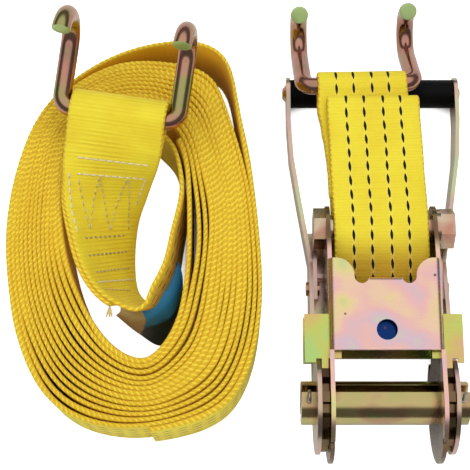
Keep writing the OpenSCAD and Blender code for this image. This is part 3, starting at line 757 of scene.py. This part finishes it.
def makeLead():
    pairs = [(Vector(a) + coil["place"], Vector(b) + coil["place"]) for a, b in lead["stations"]]
    left = openCurve([p[0] for p in pairs], 10)
    right = openCurve([p[1] for p in pairs], 10)
    normals = []
    for i in range(len(left)):
        before, after = max(i - 1, 0), min(i + 1, len(left) - 1)
        ahead = left[after] + right[after] - left[before] - right[before]
        normals.append((right[i] - left[i]).cross(ahead).normalized())
    turn = turned(0, lead["roll"], lead["yaw"])
    half = turn @ Vector((1, 0, 0)) * webbing["width"] / 2
    forward = turn @ Vector((0, 1, 0)) * lead["loop"][0]
    upward = turn @ Vector((0, 0, 1)) * lead["loop"][1]
    loop = []
    for k in range(21):
        angle = math.radians(112 - 224 * k / 20)
        loop.append(lead["bar"] + forward * math.cos(angle) + upward * math.sin(angle))
    # the front ply from the roll to the loop, round the crossbar, and the rear ply back to its cut end
    double = round(lead["single"] * 10)
    front, rear = [], []
    for i in range(len(left) - 1, -1, -1):
        share = min(max((double + 12 - i) / 12, 0), 1)
        shift = normals[i] * -lead["offset"] * share
        front.append((left[i] + shift, right[i] + shift))
    for i in range(double + 1):
        shift = normals[i] * lead["offset"]
        rear.append((left[i] + shift, right[i] + shift))
    whole = (front[:-3] + [(spot - half, spot + half) for spot in loop] + rear[3:])[::2]
    allLeft = openCurve([p[0] for p in whole], 3)
    allRight = openCurve([p[1] for p in whole], 3)
    allLeft, allRight, length = evenly(allLeft, allRight, lead["step"])
    strap = strapMesh("sewnLead", allLeft, allRight, webbing["thickness"], cloths["sewn"], across=13)
    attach(strap, "long_belt")
    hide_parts("strap_lead")
    length * mm
    print("lead", round(length), "mm")
    return strap, allLeft, allRight


sewing = {
    "thread": 0.46,  # radius
    "stitch": 2.9,
    "pitch": 3.7,
    # share of the stitch's length, and height over the strap
    "arch": ((0.0, -0.2), (0.15, 0.1), (0.5, 0.35), (0.85, 0.1), (1.0, -0.2)),
    "frayed": (-0.35, -0.05, 0.2),  # how far each loose thread leans
    "hang": 1.5,
    "drops": (0.0, 1.2, 2.4, 3.6),  # its points, in steps of hang
    "white": colour(236, 228, 200),
    "faint": colour(222, 202, 110),
    # lines over the box: share of the width and of the box's length, at each end
    "box": [((0.07, 0.0), (0.07, 0.52)), ((0.90, 0.03), (0.88, 0.30)), ((0.08, 0.93), (0.90, 0.94))],
    "zigzag": [((0.17, 0.05), (0.26, 0.50)), ((0.40, 0.02), (0.27, 0.50)), ((0.40, 0.02), (0.55, 0.52)),
               ((0.70, 0.04), (0.56, 0.52)), ((0.72, 0.04), (0.84, 0.52)), ((0.15, 0.56), (0.80, 0.56)),
               ((0.14, 0.70), (0.84, 0.70)), ((0.16, 0.84), (0.86, 0.84))],
}


def threadFinish(name, tint):
    f = Finish(name)
    twist = f.noise(f.place(), 2600.0, 2.0, 0.6)
    return f.set(Base_Color=f.mix(twist * 0.5, tint, colour(190, 178, 140)), Roughness=0.55,
                 Sheen_Weight=0.2, Normal=f.bump(twist, 0.0002, 0.6))


def ringFaces(first, rings, sides):
    # a closed skin over rings of points, with a cap at each end
    faces = []
    for ring in range(rings - 1):
        row = first + ring * sides
        for k in range(sides):
            j = (k + 1) % sides
            faces.append((row + k, row + j, row + sides + j, row + sides + k))
    faces.append([first + k for k in range(sides)][::-1])
    faces.append([first + (rings - 1) * sides + k for k in range(sides)])
    return faces


def addPiece(name, points, faces, finish, body):
    mesh = bpy.data.meshes.new(name)
    mesh.from_pydata(points, [], faces)
    piece = linkPiece(name, mesh, finish)
    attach(piece, body)


def addTube(points, faces, path, radius, sides=6):
    # rounded thread along a path, added to a mesh under construction
    faces += ringFaces(len(points), len(path), sides)
    for i, spot in enumerate(path):
        ahead = (path[min(i + 1, len(path) - 1)] - path[max(i - 1, 0)]).normalized()
        one = ahead.orthogonal().normalized()
        two = ahead.cross(one)
        thin = radius * (0.55 if i in (0, len(path) - 1) else 1.0)
        for k in range(sides):
            angle = 2 * math.pi * k / sides
            points.append((spot + (one * math.cos(angle) + two * math.sin(angle)) * thin) * mm)


def onStrap(left, right, place):
    # station along a strap and share of its width that lie nearest to a place, in millimetres
    best = None
    for i in range(len(left) - 1):
        side = right[i] - left[i]
        share = min(max((place - left[i]).dot(side) / side.length_squared, 0), 1)
        spot = left[i] + side * share
        off = (place - spot).length
        if best is None or off < best[0]:
            ahead = (left[i + 1].lerp(right[i + 1], share) - spot)
            best = (off, i + (place - spot).dot(ahead) / ahead.length_squared, share)
    return best[1], best[2]


def strapSpot(left, right, station, share, lift):
    # a place over the strap's outer face
    i = min(max(int(station), 0), len(left) - 2)
    start = left[i].lerp(left[i + 1], station - i)
    end = right[i].lerp(right[i + 1], station - i)
    ahead = left[i + 1] + right[i + 1] - left[i] - right[i]
    normal = (end - start).cross(ahead).normalized()
    return start.lerp(end, share) + normal * (webbing["thickness"] / 2 + lift)


def sewLines(name, left, right, lines, finish):
    # rows of separate stitches, each line from one (station, share) to another
    points, faces = [], []
    for (stationA, shareA), (stationB, shareB) in lines:
        ends = [strapSpot(left, right, s, a, 0) for s, a in ((stationA, shareA), (stationB, shareB))]
        count = max(1, round((ends[1] - ends[0]).length / sewing["pitch"]))
        for k in range(count):
            path = []
            for part, lift in sewing["arch"]:
                t = (k + part * sewing["stitch"] / sewing["pitch"]) / count
                station = stationA + (stationB - stationA) * t
                share = shareA + (shareB - shareA) * t + random.uniform(-0.003, 0.003)
                path.append(strapSpot(left, right, station, share, lift))
            addTube(points, faces, path, sewing["thread"])
    addPiece(name, points, faces, finish, "long_belt")


def sewThread(tree, finish):
    # the frayed end of the seam hangs over the strap's edge
    middle = onSurface(tree, imagePoints["looseThread"])[0] / mm
    points, faces = [], []
    for lean in sewing["frayed"]:
        hang = Vector((lean, -1.0, -0.25)) * sewing["hang"]
        addTube(points, faces, [middle + hang * t for t in sewing["drops"]], sewing["thread"])
    addPiece("looseThread", points, faces, finish, "long_belt")


def sewLead(strap, left, right):
    tree = treeOf([strap])
    at = {}
    for name in imagePoints:
        if "Seam" in name:
            place = onSurface(tree, imagePoints[name])[0] / mm
            at[name] = onStrap(left, right, place)
    rows = [(at[row + "Left"], at[row + "Right"]) for row in ("firstSeam", "secondSeam", "lastSeam")]
    top, foot = rows[1][0][0], rows[2][0][0]

    def boxed(lines):
        return [tuple((top + (foot - top) * down, share) for share, down in line) for line in lines]

    white = threadFinish("whiteThread", sewing["white"])
    faint = threadFinish("yellowThread", sewing["faint"])
    sewLines("leadSeams", left, right, rows[:2] + boxed(sewing["box"]), white)
    sewLines("leadZigzag", left, right, rows[2:] + boxed(sewing["zigzag"]), faint)
    sewThread(tree, faint)
    print("lead sewn", [tuple(round(v, 2) for v in end) for row in rows for end in row])
    return at


label = {
    "thickness": 0.5,
    # rows of the folded label from where it is sewn in down to its free edge, in the coil's frame
    "rows": [[(-6.0, -38.2, 42), (3.0, -37.6, 30), (14.6, -27.4, 24), (22.6, -9.0, 22)],
             [(-6.6, -40.2, 39), (4.6, -42.4, 26), (18.4, -31.6, 22), (24.6, -17.0, 20)],
             [(-8.4, -40.6, 34), (2.2, -45.4, 14), (17.4, -41.0, 11), (24.2, -26.0, 10)],
             [(-9.4, -40.2, 30), (0.9, -45.4, 6), (13.8, -51.0, 2), (22.4, -34.0, 2)]],
    "blue": colour(40, 146, 214),
    "deep": colour(14, 44, 48),
    "olive": colour(184, 174, 124),
}


def labelFinish():
    f = Finish("plainLabel")
    cloth = f.node("UVMap", {"uv_map": "cloth"})
    along, down = f.axis(cloth, 0), f.axis(cloth, 1)
    cloud = f.noise(f.place(), 160.0, 3.0, 0.6)
    weave = f.noise(f.place(), 1800.0, 2.0, 0.6)
    deep = (down + (cloud - 0.5) * 0.12 - along * 0.1).between(0.44, 0.54)
    tint = f.mix(deep, label["blue"], label["deep"])
    tint = f.mix(1 - (along + (cloud - 0.5) * 0.08).between(0.34, 0.37), tint, label["olive"])
    tint = f.mix(cloud.between(0.5, 0.75) * 0.25, tint, label["deep"])
    return f.set(Base_Color=tint, Roughness=0.4 + weave * 0.2, Normal=f.bump(weave, 0.0001, 0.5))


def makeLabel():
    rows = [openCurve([Vector(p) + coil["place"] for p in row], 10) for row in label["rows"]]
    columns = [openCurve([row[k] for row in rows], 8) for k in range(len(rows[0]))]
    wide, tall = len(columns), len(columns[0])
    points, faces, uv = [], [], []
    for face in (1, -1):
        for i in range(wide):
            for j in range(tall):
                ahead = columns[min(i + 1, wide - 1)][j] - columns[max(i - 1, 0)][j]
                drop = columns[i][min(j + 1, tall - 1)] - columns[i][max(j - 1, 0)]
                normal = ahead.cross(drop).normalized()
                points.append((columns[i][j] + normal * face * label["thickness"] / 2) * mm)
    back = wide * tall

    def corner(index):
        index %= back
        return (index // tall) / (wide - 1), (index % tall) / (tall - 1)

    for i in range(wide - 1):
        for j in range(tall - 1):
            k = i * tall + j
            faces.append((k, k + 1, k + tall + 1, k + tall))
            faces.append((back + k, back + k + tall, back + k + tall + 1, back + k + 1))
    border = [i * tall for i in range(wide)] + [(wide - 1) * tall + j for j in range(1, tall)]
    border += [i * tall + tall - 1 for i in range(wide - 2, -1, -1)] + list(range(tall - 2, 0, -1))
    for a, b in zip(border, border[1:] + border[:1]):
        faces.append((a, b, back + b, back + a))
    for face in faces:
        uv += [c for index in face for c in corner(index)]
    mesh = bpy.data.meshes.new("label")
    mesh.from_pydata(points, [], faces)
    mesh.uv_layers.new(name="cloth").data.foreach_set("uv", uv)
    mesh.update()
    piece = linkPiece("label", mesh, labelFinish())
    width = sum((a[tall // 2] - b[tall // 2]).length for a, b in zip(columns, columns[1:]))
    drop = sum((a - b).length for a, b in zip(columns[wide // 2], columns[wide // 2][1:]))
    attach(piece, "long_belt")
    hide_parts("strap_label")
    drop * mm
    print("label", round(width), "by", round(drop), "mm")


hookEnds = {
    "wire": 4.8,
    "half": 30.5,  # the crossbar's half length, to the middle of an arm
    "shank": 31.7,
    "bend": 13.4,
    "turn": 163.0,
    "sides": 28,
    # the cut end's face: share of the wire's radius, and height
    "rings": [(1.0, 0.0), (0.95, 0.22), (0.8, 0.3), (0.4, 0.34)],
    # crossbar's middle, and its turn as pitch, roll and yaw
    "short_hook": ((64.5, 77.3, 32.1), (-40.6, 0.0, 2.0)),
    "long_hook": ((-63.45, 45.65, 70.9), (14.6, -1.5, -9.1)),
}


def hookTip(hook, sign):
    # middle of an arm's end face, and the direction it faces
    e = hookEnds
    place, angles = e[hook]
    turn = turned(*angles)
    bend = math.radians(e["turn"])
    spot = Vector((sign * e["half"], e["shank"], 0))
    spot += Vector((0, math.sin(bend), 1 - math.cos(bend))) * e["bend"]
    return Vector(place) + turn @ spot, turn @ Vector((0, math.cos(bend), math.sin(bend)))


def makeHookEnds():
    rings, sides = hookEnds["rings"], hookEnds["sides"]
    for hook in ("short_hook", "long_hook"):
        points, faces = [], []
        for sign in (-1, 1):
            spot, facing = hookTip(hook, sign)
            one = facing.orthogonal().normalized()
            two = facing.cross(one)
            faces += ringFaces(len(points), len(rings), sides)
            for share, height in rings:
                for k in range(sides):
                    angle = 2 * math.pi * k / sides
                    out = (one * math.cos(angle) + two * math.sin(angle)) * share * hookEnds["wire"]
                    points.append((spot + out + facing * (height + 0.02)) * mm)
        addPiece(hook + "Ends", points, faces, metals["cut"], hook.replace("hook", "end"))
    print("hook ends made")


studio = {
    "lightFrom": (0.0, 0.29, 0.957),  # middle of the bright part of the sky
    "spread": (38.0, 56.0),  # degrees from there where it begins and ends to fade
    "bright": 1.05,
    "dim": 0.15,
    "floor": (0.82, 0.82, 0.82),
    "shaded": (0.10, 0.045, 0.008),  # between the turns of the roll, warm from the webbing
    "gap": 0.014,  # how far round it a spot looks for walls
    "size": 3.0,  # half of the floor's side
    "backdrop": 0.95,  # the floor's own white for the camera
    "mirrored": 0.05,
    # soft lamps that only light, and don't show in the metal: place, size, power
    "lamps": (("key", (0.15, 0.5, 1.3), 0.7, 4.5), ("front", (0.35, -1.3, 0.75), 0.8, 6.5),
              ("left", (-1.1, -0.3, 0.9), 0.8, 3.5)),
}


def makeFloor():
    f = Finish("floor")
    camera = f.node("LightPath", output="Is Camera Ray")
    glossy = f.node("LightPath", output="Is Glossy Ray")
    clear = f.node("LightPath", output="Is Transmission Ray")
    # dark only in gaps as narrow as those between the roll's turns
    openness = f.node("AmbientOcclusion", None, {"Distance": studio["gap"]}, "AO").between(0.12, 0.4)
    shown = (camera + clear) * openness * studio["backdrop"] + glossy * studio["mirrored"]
    f.set(Base_Color=f.mix(openness, studio["shaded"], studio["floor"]), Roughness=0.9,
          Specular_IOR_Level=0.0, Emission_Color=f.mix(shown, (0.0, 0.0, 0.0), (1.0, 1.0, 1.0)),
          Emission_Strength=1.0)
    size = studio["size"]
    mesh = bpy.data.meshes.new("floor")
    corners = [(x * size, y * size, 0) for x, y in ((-1, -1), (1, -1), (1, 1), (-1, 1))]
    mesh.from_pydata(corners, [], [(0, 1, 2, 3)])
    floor = linkPiece("floor", mesh, f.material)
    floor.location.z = -0.0003


def makeStudio():
    world = bpy.data.worlds.new("studio")
    bpy.context.scene.world = world
    f = Finish("studio", world)
    towards = f.node("VectorMath", {"operation": "DOT_PRODUCT"},
                     {0: f.node("TexCoord", output="Generated"), 1: studio["lightFrom"]}, "Value")
    fade = [math.cos(math.radians(a)) for a in studio["spread"]]
    glow = towards.between(fade[1], fade[0]) * (studio["bright"] - studio["dim"]) + studio["dim"]
    camera = f.node("LightPath", output="Is Camera Ray") + f.node("LightPath", output="Is Transmission Ray")
    f.set(Color=(1.0, 1.0, 1.0), Strength=glow * (1 - camera) + camera)
    for name, place, size, power in studio["lamps"]:
        lamp = bpy.data.objects.new(name, bpy.data.lights.new(name, "AREA"))
        lamp.data.size = size
        lamp.data.energy = power
        lamp.location = place
        lamp.rotation_euler = (-Vector(place)).to_track_quat("-Z", "Y").to_euler()
        lamp.visible_glossy = False
        bpy.context.scene.collection.objects.link(lamp)


makeStudio()
makeFloor()
finishMetal()
makeHookEnds()
makeShortStrap()
makeCoil()
leadPiece, leadLeft, leadRight = makeLead()
sewnAt = sewLead(leadPiece, leadLeft, leadRight)
makeLabel()


# how near to a point its vertices lie, in pixels
pointReach = {"hole": 14, "end": 4}


def shownAt(names, near=None):
    # pixels of these pieces' finished vertices: all in the frame, or those within near's reach
    graph = bpy.context.evaluated_depsgraph_get()
    seen = []
    for name in names:
        piece = bpy.data.objects[name].evaluated_get(graph)
        for v in piece.data.vertices:
            x, y = toPixel(piece.matrix_world @ v.co)
            if near:
                kept = math.hypot(x - near[0], y - near[1]) < near[2]
            else:
                kept = 0 <= x <= view["width"] and 0 <= y <= view["height"]
            if kept:
                seen.append((x, y))
    return seen


def middleOf(seen):
    if not seen:
        return None, None
    return tuple((min(p[k] for p in seen) + max(p[k] for p in seen)) / 2 for k in (0, 1))


def endOf(names, side):
    # the left (-1) or right (1) end of these pieces, halfway up
    seen = shownAt(names)
    reach = max(side * x for x, y in seen) * side
    return reach, middleOf([p for p in seen if abs(p[0] - reach) < pointReach["end"]])[1]


def writePoints():
    # how far each thing shows from its image point, in pixels
    shown = [o.name for o in bpy.context.scene.objects if o.type == "MESH" and not o.hide_render]
    every = shownAt([name for name in shown if name != "floor"])
    xs, ys = [p[0] for p in every], [p[1] for p in every]
    hole = imagePoints["webHole"]
    shafts = ["half_shaft_front", "half_shaft_rear"]
    found = {
        "leftmost": (min(xs), None), "rightmost": (max(xs), None),
        "topmost": (None, min(ys)), "bottommost": (None, max(ys)),
        "webHole": middleOf(shownAt(["base_frame"], (*hole, pointReach["hole"]))),
        "spindleLeft": endOf(shafts, -1), "spindleRight": endOf(shafts, 1),
        "gripLeft": endOf(["grip_sleeve"], -1),
        "looseThread": middleOf(shownAt(["looseThread"])),
    }
    for hook in ("short", "long"):
        for sign, side in ((-1, "Left"), (1, "Right")):
            found[hook + "Tip" + side] = toPixel(hookTip(hook + "_hook", sign)[0] * mm)
    for name, (station, share) in sewnAt.items():
        found[name] = toPixel(strapSpot(leadLeft, leadRight, station, share, 0) * mm)
    for name, point in imagePoints.items():
        [None if p is None or f is None else round(f - p, 2) for p, f in zip(point, found[name])]


writePoints()
bpy.context.scene.view_settings.view_transform = "Standard"
